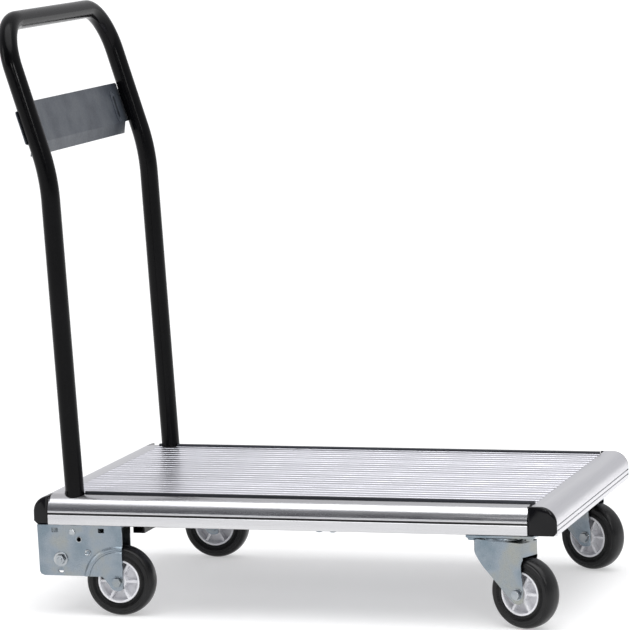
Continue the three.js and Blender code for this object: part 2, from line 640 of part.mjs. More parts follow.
// Pressed fork: two legs, a crown plate with rounded corners, and a wall at its front and rear.
function fork() {
  const crownTop = raceBottom - GAP;
  const outerY = CASTER.legInner + CASTER.sheet;
  const crownStart = CASTER.crownRear + CASTER.rearCorner;
  const crown = new THREE.Shape();
  crown.moveTo(crownStart, -outerY);
  crown.lineTo(CASTER.crownFront - 6, -outerY);
  crown.quadraticCurveTo(CASTER.crownFront, -outerY, CASTER.crownFront, -outerY + CASTER.crownCorner);
  crown.lineTo(CASTER.crownFront, outerY - CASTER.crownCorner);
  crown.quadraticCurveTo(CASTER.crownFront, outerY, CASTER.crownFront - 6, outerY);
  crown.lineTo(crownStart, outerY);
  crown.quadraticCurveTo(CASTER.crownRear, outerY, CASTER.crownRear, outerY - CASTER.rearCorner);
  crown.lineTo(CASTER.crownRear, CASTER.rearCorner - outerY);
  crown.quadraticCurveTo(CASTER.crownRear, -outerY, crownStart, -outerY);
  const slab = new THREE.ExtrudeGeometry(crown, {
    depth: CASTER.sheet, bevelEnabled: false, curveSegments: 4,
  }).translate(0, 0, crownTop - CASTER.sheet);
  const column = new THREE.ExtrudeGeometry(crown, {
    depth: 100, bevelEnabled: false, curveSegments: 4,
  }).translate(0, 0, 30);
  const legs = [-1, 1].map((sign) => toSolid(sign < 0
    ? alongY(legShape(), -outerY, -CASTER.legInner)
    : alongY(legShape(), CASTER.legInner, outerY)));
  const skirtBottom = 2 * WHEEL_RADIUS + 1.5;
  const skirt = toSolid(box([CASTER.crownFront - 3, -outerY, skirtBottom],
    [CASTER.crownFront, outerY, crownTop]));
  const rearSkirt = toSolid(box(
    [CASTER.crownRear, -outerY, LEG.rearLow], [crownStart, outerY, crownTop]))
    .subtract(toSolid(box(
      [CASTER.crownRear + CASTER.sheet, -CASTER.legInner, LEG.rearLow - 1],
      [crownStart + 1, CASTER.legInner, crownTop - CASTER.sheet])));
  const whole = legs.reduce((sum, leg) => sum.add(leg), toSolid(slab)).add(skirt).add(rearSkirt)
    .intersect(toSolid(column))
    .add(toSolid(ringZ(
      CASTER.kingpin + GAP, CASTER.collar, crownTop - CASTER.sheet - COLLAR_DROP, crownTop)));
  const bores = [rodY(AXLE_RADIUS + GAP, TRAIL, WHEEL_RADIUS, -outerY - 1, outerY + 1, 16),
    rodZ(CASTER.kingpin + GAP, 0, 0, 90, crownTop + 1, 20)];
  return bores.reduce((rest, bore) => cut(rest, bore), toGeometry(whole));
}

function kingpin() {
  const crownUnder = raceBottom - GAP - CASTER.sheet - COLLAR_DROP - GAP;
  return join(rodZ(CASTER.kingpin, 0, 0, crownUnder - 1, plateTop - 0.4, 20),
    rodZ(9.5, 0, 0, crownUnder - 3.4, crownUnder, 20));
}

const forkGeometry = fork();
const casterPlateGeometry = casterPlate();
for (const [side, sign] of SIDES) {
  const name = `caster_${side}`;
  const base = new THREE.Group();
  base.position.set(SWIVEL.x, sign * SWIVEL.y, 0);
  base.add(node(`${name}_plate`, casterPlateGeometry.clone(), zinc));
  base.add(node(`${name}_race`, race(), zinc));
  base.add(node(`${name}_kingpin`, kingpin(), zinc));
  const swivel = new THREE.Group();
  swivel.rotation.z = THREE.MathUtils.degToRad(CASTER_TURN[side]);
  swivel.add(node(`${name}_fork`, forkGeometry.clone(), zinc));
  const legOuter = CASTER.legInner + CASTER.sheet + GAP;
  swivel.add(node(`${name}_axle`, boltY(TRAIL, WHEEL_RADIUS, AXLE_RADIUS, -legOuter, legOuter + 8), zinc));
  swivel.add(node(`${name}_axle_nut`, nutY(TRAIL, WHEEL_RADIUS, AXLE_RADIUS, legOuter), zinc));
  const wheel = new THREE.Group();
  wheel.position.set(TRAIL, 0, WHEEL_RADIUS);
  addWheel(wheel, `front_wheel_${side}`);
  swivel.add(wheel);
  base.add(swivel);
  truck.add(base);
}

// ---------------------------------------------------------------- centre over the floor
truck.updateMatrixWorld(true);
const bounds = new THREE.Box3().setFromObject(truck, true);
const middle = bounds.getCenter(new THREE.Vector3());
truck.position.set(-middle.x, -middle.y, -bounds.min.z);

export default truck;
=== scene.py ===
"""Flatbed platform truck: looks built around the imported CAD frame. Lengths below are millimetres."""
import math

import bmesh
import bpy
from mathutils import Matrix, Vector


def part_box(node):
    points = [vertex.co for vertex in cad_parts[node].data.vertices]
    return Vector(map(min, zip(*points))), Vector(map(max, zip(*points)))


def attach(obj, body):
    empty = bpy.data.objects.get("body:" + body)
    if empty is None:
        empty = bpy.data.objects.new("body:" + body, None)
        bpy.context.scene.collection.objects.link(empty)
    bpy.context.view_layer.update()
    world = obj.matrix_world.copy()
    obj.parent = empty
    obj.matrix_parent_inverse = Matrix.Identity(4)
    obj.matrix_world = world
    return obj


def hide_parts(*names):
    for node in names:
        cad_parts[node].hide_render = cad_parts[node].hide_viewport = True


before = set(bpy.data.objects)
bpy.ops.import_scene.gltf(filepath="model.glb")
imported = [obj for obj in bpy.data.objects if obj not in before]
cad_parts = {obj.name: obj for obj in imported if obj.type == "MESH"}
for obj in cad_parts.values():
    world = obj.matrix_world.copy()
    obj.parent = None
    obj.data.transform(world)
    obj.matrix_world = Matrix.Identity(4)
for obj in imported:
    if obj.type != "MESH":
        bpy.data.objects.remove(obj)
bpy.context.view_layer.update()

# ------------------------------------------------------------------ dimensions shared with the CAD
MM = 0.001
HALF_WIDTH = 240.0
SEAM_Y = 213.0
SEAM_X = 341.4
REAR_X, FRONT_X = -380.0, 377.0
SIDE_X = (-357.5, 336.0)
END_HALF = HALF_WIDTH - 5
REAR_HALF = SEAM_Y + 3
DECK_TOP = 170.0
RAIL_BOTTOM = 129.5
GAP = 0.3
WALL = 2.5
TUBE_RADIUS = 13.6
TUBE_WALL = 1.8
SKIN = 0.16          # a round skin stands this far inside the faceted solid it covers
POST_Y = 214.5
POST_FOOT = Vector((-321.0, 92.0))
POST_BEND = Vector((-346.4, 620.6))
UPPER_LEAN = math.radians(17.2)
GRIP_RISE = 225.0
BEND_SETBACK = 36.0
CORNER_RADIUS = 68.0
WHEEL_RADIUS = 50.0
TREAD_HALF = 15.5
HUB_RADIUS = 30.8
REAR_AXLE_X = -256.6
REAR_WHEEL_Y = 220.3
SWIVEL = (296.7, 215.7)
TRAIL = 34.9
CASTER_TURN = {"right": math.radians(-21), "left": math.radians(-22)}
AXLE_RADIUS = 4.0
BORE_RADIUS = 6.3
RAIL_RADIUS = 23.0
SIDES = (("right", -1), ("left", 1))

# The CAD is centred over the floor, so its own origin is read back from two of its nodes.
OFFSET = Vector((
    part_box("front_rail")[1].x / MM - FRONT_X,
    (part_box("handle_tube")[0].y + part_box("handle_tube")[1].y) / 2 / MM,
    0.0))


def row(point):
    """A point in the CAD's own millimetres, in the row frame's metres."""
    return (Vector(point) + OFFSET) * MM


# ------------------------------------------------------------------ materials
def noise_chain(tree, scale, detail=4.0, stretch=(1, 1, 1)):
    coords = tree.nodes.new("ShaderNodeTexCoord")
    mapping = tree.nodes.new("ShaderNodeMapping")
    mapping.inputs["Scale"].default_value = stretch
    noise = tree.nodes.new("ShaderNodeTexNoise")
    noise.inputs["Scale"].default_value = scale
    noise.inputs["Detail"].default_value = detail
    tree.links.new(coords.outputs["Object"], mapping.inputs["Vector"])
    tree.links.new(mapping.outputs["Vector"], noise.inputs["Vector"])
    return noise.outputs["Fac"]


def surface(name, colors, metallic, rough, bump, grain, tone, coat=0.0, coat_rough=0.05, specular=0.5):
    """Principled surface: colour mottled between `colors`, roughness and height from finer grain."""
    mat = bpy.data.materials.new(name)
    mat.use_nodes = True
    tree = mat.node_tree
    shader = tree.nodes["Principled BSDF"]
    shader.inputs["Metallic"].default_value = metallic
    shader.inputs["Coat Weight"].default_value = coat
    shader.inputs["Specular IOR Level"].default_value = specular
    shader.inputs["Coat Roughness"].default_value = coat_rough
    ramp = tree.nodes.new("ShaderNodeValToRGB")
    elements = ramp.color_ramp.elements
    elements[0].position, elements[1].position = 0.34, 0.66
    elements[0].color, elements[1].color = (*colors[0], 1), (*colors[-1], 1)
    for index, color in enumerate(colors[1:-1], 1):
        middle = elements.new(0.34 + 0.32 * index / (len(colors) - 1))
        middle.color = (*color, 1)
    tree.links.new(noise_chain(tree, *tone), ramp.inputs["Fac"])
    tree.links.new(ramp.outputs["Color"], shader.inputs["Base Color"])
    fine = noise_chain(tree, *grain)
    span = tree.nodes.new("ShaderNodeMapRange")
    span.inputs["From Min"].default_value = 0.3
    span.inputs["From Max"].default_value = 0.7
    span.inputs["To Min"].default_value, span.inputs["To Max"].default_value = rough
    tree.links.new(fine, span.inputs["Value"])
    tree.links.new(span.outputs["Result"], shader.inputs["Roughness"])
    height = tree.nodes.new("ShaderNodeBump")
    height.inputs["Strength"].default_value = bump
    height.inputs["Distance"].default_value = 0.0004
    tree.links.new(fine, height.inputs["Height"])
    tree.links.new(height.outputs["Normal"], shader.inputs["Normal"])
    return mat


ALONG_X = (0.03, 1, 1)
ALONG_Y = (1, 0.03, 1)
MATERIALS = {
    "deck_aluminium": surface("deck_aluminium", [(0.60, 0.60, 0.65), (0.70, 0.70, 0.75)], 1.0,
                              (0.24, 0.40), 0.12, (900, 3, ALONG_X), (60, 3, ALONG_X)),
    "rail_aluminium": surface("rail_aluminium", [(0.52, 0.52, 0.54), (0.61, 0.61, 0.62)], 1.0,
                              (0.16, 0.26), 0.05, (700, 3, ALONG_X), (40, 3, ALONG_X)),
    "end_aluminium": surface("end_aluminium", [(0.66, 0.66, 0.69), (0.76, 0.76, 0.78)], 1.0,
                             (0.28, 0.40), 0.06, (700, 3, ALONG_Y), (40, 3, ALONG_Y)),
    "cap_plastic": surface("cap_plastic", [(0.002, 0.002, 0.003), (0.005, 0.005, 0.006)], 0.0,
                           (0.12, 0.22), 0.04, (1500, 4), (50, 3), 0.04, 0.06, 0.22),
    "strip_plastic": surface("strip_plastic", [(0.008, 0.009, 0.013), (0.020, 0.022, 0.030)], 0.0,
                             (0.26, 0.40), 0.10, (1100, 3, ALONG_X), (40, 3, ALONG_X)),
    "black_steel": surface("black_steel", [(0.001, 0.001, 0.0013), (0.002, 0.002, 0.0026)], 0.0,
                           (0.14, 0.24), 0.03, (260, 3), (12, 2), 0.0, 0.08, 0.12),
    "slate_plate": surface("slate_plate", [(0.044, 0.052, 0.066), (0.060, 0.070, 0.086),
                                           (0.078, 0.088, 0.102)], 0.25,
                           (0.34, 0.46), 0.08, (420, 4), (32, 4)),
    "zinc_steel": surface("zinc_steel", [(0.19, 0.24, 0.28), (0.27, 0.31, 0.35), (0.32, 0.33, 0.31)],
                          1.0, (0.22, 0.36), 0.10, (900, 4), (22, 4)),
    "bolt_steel": surface("bolt_steel", [(0.30, 0.33, 0.36), (0.46, 0.48, 0.49)], 1.0,
                          (0.14, 0.24), 0.08, (1200, 3), (60, 3)),
    # painted shade: near-black colour for the faces inside the side rails' groove, standing in for the shade
    # there
    "groove_shadow": surface("groove_shadow", [(0.010, 0.010, 0.011), (0.022, 0.020, 0.018)], 0.2,
                             (0.40, 0.55), 0.05, (700, 3, ALONG_X), (40, 3, ALONG_X)),
    "tyre_rubber": surface("tyre_rubber", [(0.0020, 0.0020, 0.0024), (0.0055, 0.0055, 0.006)], 0.0,
                           (0.24, 0.40), 0.12, (1400, 5), (70, 4), 0.0, 0.05, 0.32),
    "hub_plastic": surface("hub_plastic", [(0.72, 0.72, 0.75), (0.84, 0.84, 0.86)], 0.0,
                           (0.28, 0.42), 0.10, (900, 3), (60, 3), 0.2, 0.2),
    "bush_bronze": surface("bush_bronze", [(0.34, 0.26, 0.14), (0.50, 0.40, 0.24)], 1.0,
                           (0.28, 0.44), 0.12, (700, 4), (60, 3)),
}


# ------------------------------------------------------------------ shapes
def arc(cx, cy, radius, start, stop, steps):
    """Points of an arc, in degrees, both ends included."""
    turns = [math.radians(start + (stop - start) * i / steps) for i in range(steps + 1)]
    return [(cx + radius * math.cos(t), cy + radius * math.sin(t)) for t in turns]


def rounded(corners, steps=5):
    """Closed outline from (x, y, radius) corners, each one turned on its own radius."""
    outline = []
    for index, (x, y, radius) in enumerate(corners):
        here = Vector((x, y))
        before = Vector(corners[index - 1][:2]) - here
        after = Vector(corners[(index + 1) % len(corners)][:2]) - here
        reach = min(radius, before.length * 0.48, after.length * 0.48)
        if reach < 1e-6:
            outline.append((x, y))
            continue
        start, stop = here + before.normalized() * reach, here + after.normalized() * reach
        for step in range(steps + 1):
            t = step / steps
            outline.append(tuple(start * (1 - t) ** 2 + here * 2 * t * (1 - t) + stop * t * t))
    return outline


def circle(cx, cy, radius, steps=28):
    return arc(cx, cy, radius, 0, 360, steps)[:-1]


def slot_outline(cx, low, high, half, steps=12):
    return arc(cx, high - half, half, 0, 180, steps) + arc(cx, low + half, half, 180, 360, steps)


def tidy(bm):
    bmesh.ops.remove_doubles(bm, verts=bm.verts, dist=1e-4)
    bmesh.ops.dissolve_degenerate(bm, edges=bm.edges, dist=1e-5)
    bmesh.ops.recalc_face_normals(bm, faces=bm.faces)


def prism(outline, low, high, to_space, holes=()):
    """Closed sheet: an outline with holes in (u, v), from w = low to high, mapped by to_space."""
    curve = bpy.data.curves.new("outline", "CURVE")
    curve.dimensions = "2D"
    curve.fill_mode = "BOTH"
    curve.extrude = (high - low) / 2
    for ring in (outline, *holes):
        spline = curve.splines.new("POLY")
        spline.points.add(len(ring) - 1)
        for point, (u, v) in zip(spline.points, ring):
            point.co = (u, v, 0, 1)
        spline.use_cyclic_u = True
    holder = bpy.data.objects.new("outline", curve)
    bpy.context.collection.objects.link(holder)
    mesh = bpy.data.meshes.new_from_object(holder)
    bpy.data.objects.remove(holder)
    bpy.data.curves.remove(curve)
    bm = bmesh.new()
    bm.from_mesh(mesh)
    bpy.data.meshes.remove(mesh)
    middle = (high + low) / 2
    for vert in bm.verts:
        vert.co = Vector(to_space(vert.co.x, vert.co.y, vert.co.z + middle))
    tidy(bm)
    return bm


AXIS = 0.001         # a solid profile starts this close to the axis it is turned about


def lathe(profile, to_space, steps=64):
    """Closed (radius, along) profile turned about the along axis."""
    bm = bmesh.new()
    rings = []
    for step in range(steps):
        turn = 2 * math.pi * step / steps
        rings.append([bm.verts.new(to_space(r * math.cos(turn), r * math.sin(turn), along))
                      for r, along in profile])
    count = len(profile)
    for step in range(steps):
        here, there = rings[step], rings[(step + 1) % steps]
        for i in range(count):
            j = (i + 1) % count
            bm.faces.new((here[i], here[j], there[j], there[i]))
    tidy(bm)
    return bm


def rod(radius, low, high, to_space, steps):
    """Solid cylinder from low to high."""
    return lathe([(AXIS, low), (radius, low), (radius, high), (AXIS, high)], to_space, steps)


def pipe(route, outer, inner, sides=48):
    """Hollow tube along a route of points, its two ends closed by a ring."""
    bm = bmesh.new()
    shells = {}
    for radius in (outer, inner):
        rings = []
        normal = Vector((0, 1, 0))
        for index, point in enumerate(route):
            ahead = route[min(index + 1, len(route) - 1)] - route[max(index - 1, 0)]
            ahead.normalize()
            normal = normal - ahead * normal.dot(ahead)
            if normal.length < 1e-6:
                normal = ahead.orthogonal()
            normal.normalize()
            other = ahead.cross(normal)
            rings.append([bm.verts.new(point + radius * (
                normal * math.cos(2 * math.pi * s / sides) + other * math.sin(2 * math.pi * s / sides)))
                for s in range(sides)])
        for here, there in zip(rings, rings[1:]):
            for s in range(sides):
                bm.faces.new((here[s], here[(s + 1) % sides], there[(s + 1) % sides], there[s]))
        shells[radius] = rings
    for end in (0, -1):
        big, small = shells[outer][end], shells[inner][end]
        for s in range(sides):
            bm.faces.new((big[s], big[(s + 1) % sides], small[(s + 1) % sides], small[s]))
    bmesh.ops.recalc_face_normals(bm, faces=bm.faces)
    return bm


def temporary(bm):
    mesh = bpy.data.meshes.new("temporary")
    bm.to_mesh(mesh)
    bm.free()
    holder = bpy.data.objects.new("temporary", mesh)
    bpy.context.collection.objects.link(holder)
    return holder


def combine(base, others, operation):
    """base with the others added (UNION), cut away (DIFFERENCE), or kept in common (INTERSECT)."""
    body = temporary(base)
    tools = [temporary(other) for other in others]
    for tool in tools:
        step = body.modifiers.new("combine", "BOOLEAN")
        step.operation = operation
        step.solver = "EXACT"
        step.object = tool
    bpy.context.view_layer.update()
    graph = bpy.context.evaluated_depsgraph_get()
    mesh = bpy.data.meshes.new_from_object(body.evaluated_get(graph))
    result = bmesh.new()
    result.from_mesh(mesh)
    bpy.data.meshes.remove(mesh)
    for holder in (body, *tools):
        bpy.data.objects.remove(holder)
    tidy(result)
    return result


def merged(*parts):
    """Several closed shells as one mesh."""
    whole = parts[0]
    for part in parts[1:]:
        mesh = bpy.data.meshes.new("part")
        part.to_mesh(mesh)
        part.free()
        whole.from_mesh(mesh)
        bpy.data.meshes.remove(mesh)
    return whole


def copied(bm, change=None, flip=False):
    """A copy of bm with each point changed; flip turns the faces over after a mirror."""
    twin = bm.copy()
    if change:
        for vert in twin.verts:
            vert.co = Vector(change(vert.co))
    if flip:
        bmesh.ops.reverse_faces(twin, faces=twin.faces)
    return twin


def piece(name, bm, body, slot, replaces=(), bevel=0.0, segments=2, look=None, angle=32):
    """A finished piece from millimetres: placed, shaded, given its material, and set on its body."""
    for vert in bm.verts:
        vert.co = row(vert.co)
    mesh = bpy.data.meshes.new(name)
    bm.to_mesh(mesh)
    bm.free()
    mesh.shade_smooth()
    mesh.set_sharp_from_angle(angle=math.radians(angle))
    obj = bpy.data.objects.new(name, mesh)
    bpy.context.collection.objects.link(obj)
    mesh.materials.append(MATERIALS[look or slot])
    if bevel:
        soft = obj.modifiers.new("edges", "BEVEL")
        soft.width = bevel * MM
        soft.segments = segments
        soft.limit_method = "ANGLE"
        soft.angle_limit = math.radians(angle)
        soft.harden_normals = True
    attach(obj, body)
    if replaces:
        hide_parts(*replaces)
    return obj


GROOVE_MARGIN, GROOVE_REACH = 0.5, 3.0


def shade_groove(obj, low, high, outer, depth=0.6):
    """Painted shade: a near-black material on the faces that line a groove, between two heights and set in
    from the outer face, standing in for the shade inside the groove.
    """
    obj.data.materials.append(MATERIALS["groove_shadow"])
    for polygon in obj.data.polygons:
        centre = polygon.center / MM - OFFSET
        at_height = low - GROOVE_MARGIN < centre.z < high + GROOVE_MARGIN
        if at_height and outer - GROOVE_REACH < abs(centre.y) < outer - depth:
            polygon.material_index = 1


def both_sides(name, bm, slot, bevel=0.0, nodes=True, segments=2, look=None):
    """The right-hand piece and its mirror image on the left, both on the chassis."""
    left = copied(bm, lambda co: (co.x, -co.y, co.z), flip=True)
    made = []
    for side, shape in (("right", bm), ("left", left)):
        stem = f"{name}_{side}"
        replaced = (stem,) if nodes else ()
        made.append(piece(f"{stem}_skin", shape, "chassis", slot, replaced, bevel, segments, look))
    return made


def plain(u, v, w):
    return (u, v, w)


# ------------------------------------------------------------------ rails and corner caps
def post_hole(radius, low, high, sign=-1):
    """Upright cylinder where a post passes; its x follows the post's slight lean at deck height."""
    lean = (POST_BEND.x - POST_FOOT.x) / (POST_BEND.y - POST_FOOT.y)
    x = POST_FOOT.x + lean * ((DECK_TOP + RAIL_BOTTOM) / 2 - POST_FOOT.y)
    return rod(radius, low, high, lambda a, b, w: (x + a, sign * POST_Y + b, w), 40)


GROOVE_DEPTH = 2.2
SIDE_GROOVE, SIDE_LIP = (143.7, 146.6), 1.8


def rail_outline(reach, grooves, lip):
    """Section in (out, up): rounded shoulder, flat face with square grooves, inner wall."""
    centre = reach - RAIL_RADIUS
    shoulder = DECK_TOP - RAIL_RADIUS
    thick = WALL + GROOVE_DEPTH
    inner = arc(centre, shoulder, RAIL_RADIUS - WALL, 90, 8, 20)
    outline = [(0, DECK_TOP), (0, DECK_TOP - WALL)] + inner
    outline += [(reach - thick, shoulder - 1), (reach - thick, RAIL_BOTTOM + WALL),
                (2, RAIL_BOTTOM + WALL), (2, RAIL_BOTTOM), (reach - 0.8, RAIL_BOTTOM),
                (reach, RAIL_BOTTOM + 0.8)]
    for low, high in grooves:
        outline += [(reach, low - 0.4), (reach - 0.4, low), (reach - GROOVE_DEPTH, low),
                    (reach - GROOVE_DEPTH, high), (reach - 0.4, high), (reach, high + 0.4)]
    if lip:
        top = grooves[-1][1] + lip
        outline += [(reach, top), (reach - 0.5, top + 0.3), (reach - 0.5, top + 0.8), (reach, top + 1.1)]
    start = max(0.0, math.degrees(math.asin(
        max(0.0, (outline[-1][1] + 0.2 - shoulder) / RAIL_RADIUS)))) if outline[-1][1] > shoulder else 0.0
    return outline + arc(centre, shoulder, RAIL_RADIUS, start, 90, 28)[:None if centre > 0.01 else -1]


def side_space(u, v, w):
    return (w, -SEAM_Y - u, v)


side_rail = prism(rail_outline(HALF_WIDTH - SEAM_Y, [SIDE_GROOVE], SIDE_LIP), *SIDE_X, side_space)
side_rail = combine(side_rail, [post_hole(TUBE_RADIUS + 1.5, RAIL_BOTTOM - 5, DECK_TOP + 10)], "DIFFERENCE")
# the faces inside each side rail's groove get painted shade, a near-black material in place of the shade
# there
for rail in both_sides("side_rail", side_rail, "rail_aluminium"):
    shade_groove(rail, *SIDE_GROOVE, HALF_WIDTH)

front_rail = prism(rail_outline(FRONT_X - SEAM_X, [(136.2, 137.6), (143.0, 144.4)], 0), -END_HALF, END_HALF,
                   lambda u, v, w: (SEAM_X + u, w, v))
piece("front_rail_skin", front_rail, "chassis", "rail_aluminium", ("front_rail",), look="end_aluminium")
rear_rail = prism(rail_outline(-REAR_X - SEAM_X, [(141.0, 143.0)], 0), -SEAM_Y + GAP, SEAM_Y - GAP,
                  lambda u, v, w: (-SEAM_X - u, w, v))
piece("rear_rail_skin", rear_rail, "chassis", "rail_aluminium", ("rear_rail",), look="end_aluminium")


def cap_outline(reach, inner):
    centre = reach - RAIL_RADIUS
    turn = math.degrees(math.acos(max(inner - centre, 0) / RAIL_RADIUS))
    outline = [(inner, RAIL_BOTTOM), (reach - 5, RAIL_BOTTOM), (reach, RAIL_BOTTOM + 5)]
    outline += arc(centre, DECK_TOP - RAIL_RADIUS, RAIL_RADIUS, 0, turn, 26)
    return outline + ([(inner, DECK_TOP)] if inner < centre - 0.01 else [])


def domed(outline, base, rim, crown, to_space, steps=14):
    """Closed cap: straight from base to rim, then a shallow dome up to crown."""
    middle = Vector((sum(u for u, v in outline), sum(v for u, v in outline))) / len(outline)
    levels = [(1.0, base)]
    for step in range(steps + 1):
        turn = math.radians(88) * step / steps
        levels.append((math.cos(turn), rim + (crown - rim) * math.sin(turn)))
    bm = bmesh.new()
    rings = []
    for scale, w in levels:
        ring = [middle + (Vector(point) - middle) * scale for point in outline]
        rings.append([bm.verts.new(to_space(p.x, p.y, w)) for p in ring])
    for here, there in zip(rings, rings[1:]):
        for i in range(len(outline)):
            j = (i + 1) % len(outline)
            bm.faces.new((here[i], here[j], there[j], there[i]))
    bm.faces.new(rings[0])
    bm.faces.new(rings[-1])
    bmesh.ops.recalc_face_normals(bm, faces=bm.faces)
    return bm


both_sides("front_cap", domed(
    cap_outline(FRONT_X - SEAM_X, SIDE_X[1] - SEAM_X + GAP), -END_HALF - GAP, -END_HALF - 1.6, -HALF_WIDTH,
    lambda u, v, w: (SEAM_X + u, w, v)), "cap_plastic")
both_sides("rear_cap", domed(
    cap_outline(-REAR_X - SEAM_X, -SEAM_X - SIDE_X[0] + GAP), -REAR_HALF - GAP, -HALF_WIDTH + 5, -HALF_WIDTH,
    lambda u, v, w: (-SEAM_X - u, w, v)), "cap_plastic")

# ------------------------------------------------------------------ deck planks and edge strips
PLANKS, RIBS = 4, 6
PLANK_DEPTH, PLANK_SKIN, PLANK_WEB, PLANK_FOOT = 27.0, 3.0, 2.4, 9.0
GROOVE_WIDTH, GROOVE_SINK = 2.4, 1.2
STRIP_WIDTH, STRIP_HEIGHT = 7.0, 3.6
ZONE = 2 * (SEAM_Y - GAP)
PLANK_WIDTH = ZONE / PLANKS - GAP
PLANK_X = (-SEAM_X + GAP, SEAM_X - GAP)


def plank_outline():
    low, under, wide, web = DECK_TOP - PLANK_DEPTH, DECK_TOP - PLANK_SKIN, PLANK_WIDTH, PLANK_WEB
    mid = wide / 2
    outline = [(0, low), (PLANK_FOOT, low), (PLANK_FOOT, low + web), (web, low + web), (web, under),
               (mid - web / 2, under), (mid - web / 2, low), (mid + web / 2, low), (mid + web / 2, under),
               (wide - web, under), (wide - web, low + web), (wide - PLANK_FOOT, low + web),
               (wide - PLANK_FOOT, low), (wide, low), (wide, DECK_TOP - 0.4), (wide - 0.4, DECK_TOP)]
    pitch = wide / RIBS
    for rib in reversed(range(RIBS)):
        centre = (rib + 0.5) * pitch
        half = GROOVE_WIDTH / 2
        outline += [(centre + half + 0.3, DECK_TOP), (centre + half, DECK_TOP - 0.25),
                    (centre + half * 0.6, DECK_TOP - GROOVE_SINK),
                    (centre - half * 0.6, DECK_TOP - GROOVE_SINK),
                    (centre - half, DECK_TOP - 0.25), (centre - half - 0.3, DECK_TOP)]
    return outline + [(0.4, DECK_TOP), (0, DECK_TOP - 0.4)]


for index in range(PLANKS):
    start = -ZONE / 2 + GAP / 2 + index * (PLANK_WIDTH + GAP)
    plank = prism(plank_outline(), *PLANK_X, lambda u, v, w, start=start: (w, start + u, v))
    if index in (0, PLANKS - 1):
        sign = -1 if index == 0 else 1
        inner = SEAM_Y - STRIP_WIDTH - GAP
        bed = prism([(inner, DECK_TOP - GROOVE_SINK), (SEAM_Y + 1, DECK_TOP - GROOVE_SINK),
                     (SEAM_Y + 1, DECK_TOP + 1), (inner, DECK_TOP + 1)], PLANK_X[0] - 1, PLANK_X[1] + 1,
                    lambda u, v, w, sign=sign: (w, sign * u, v))
        plank = combine(plank, [bed, post_hole(TUBE_RADIUS + 1.5, 120, DECK_TOP + 10, sign)], "DIFFERENCE")
    piece(f"deck_plank_{index + 1}_skin", plank, "chassis", "deck_aluminium", (f"deck_plank_{index + 1}",))

STRIP_BASE = DECK_TOP - GROOVE_SINK + GAP
strip_outline = [(SEAM_Y - GAP, STRIP_BASE), (SEAM_Y - STRIP_WIDTH, STRIP_BASE)] + rounded([
    (SEAM_Y - STRIP_WIDTH, STRIP_BASE + 1, 0.2), (SEAM_Y - STRIP_WIDTH + 1.2, DECK_TOP + STRIP_HEIGHT, 1.4),
    (SEAM_Y - 1.4, DECK_TOP + STRIP_HEIGHT, 1.2), (SEAM_Y - GAP, STRIP_BASE + 1, 0.2)])
strip = prism(strip_outline, PLANK_X[0] + GAP, PLANK_X[1] - GAP, lambda u, v, w: (w, -u, v))
strip = combine(strip, [post_hole(TUBE_RADIUS + 0.5, 150, DECK_TOP + 12)], "DIFFERENCE")
both_sides("edge_strip", strip, "strip_plastic")


# ------------------------------------------------------------------ fasteners
def y_space(x, z):
    """Local axes for a part that lies along Y at (x, z): (u, v, w) is (across, up, along Y)."""
    return lambda u, v, w: (x + u, w, z + v)


def threaded(radius, start, stop, pitch=1.25):
    """Profile of a shank with shallow thread rings over its last 8 mm."""
    step = 1 if stop > start else -1
    begin = stop - step * min(8.0, abs(stop - start) * 0.6)
    profile = [(AXIS, start), (radius, start), (radius, begin)]
    along = begin
    while abs(stop - along) > pitch:
        profile += [(radius - 0.45, along + step * pitch * 0.5), (radius, along + step * pitch)]
        along += step * pitch
    return profile + [(radius - 0.7, stop), (AXIS, stop)]


def hexagon(radius, low, high, space):
    return prism(arc(0, 0, radius, 0, 300, 5), low, high, space)


def bolt(space, radius, face, tip):
    """Hex bolt: washer on the face, head outside it, threaded shank to the tip."""
    washer = lathe([(radius, face), (radius * 2.1 - 0.3, face), (radius * 2.1, face - 0.3),
                    (radius * 2.1, face - 0.9), (radius * 2.1 - 0.3, face - 1.2), (radius, face - 1.2)],
                   space, 40)
    head = hexagon(radius * 1.75, face - 1.2 - radius * 1.25, face - 1.1, space)
    return merged(head, washer, lathe(threaded(radius, face - 1.2, tip), space, 28))


def nut(space, radius, low, high):
    return combine(hexagon(radius * 1.75, low, high, space),
                   [rod(radius + GAP, low - 1, high + 1, space, 28)], "DIFFERENCE")


# ------------------------------------------------------------------ rear brackets
BRACKET_X = (-374.8, -249.0)
BRACKET_TOP = RAIL_BOTTOM - GAP
BRACKET_LOW = 57.0
SHEET = 2.5
INNER = 199.8
STEP = 2.0
EAR = 13.0
BOLT_HOLE, PIN_HOLE, SPARE_HOLE = (-340.6, 80.6), (-322.4, 119.4), (-312.6, 109.3)
LOW_HOLE, DIMPLE = (-341.0, 65.0), (-300.0, 90.5)


def bracket_outline():
    left, right = BRACKET_X
    ear = arc(REAR_AXLE_X, WHEEL_RADIUS, EAR, 198, 306, 18)
    return ([(left, BRACKET_TOP), (left + 2, BRACKET_LOW + 6), (left + 4, BRACKET_LOW + 2),
             (left + 9, BRACKET_LOW), (REAR_AXLE_X - EAR - 9, BRACKET_LOW)] + ear
            + [(right, WHEEL_RADIUS - 5), (right, BRACKET_TOP)])


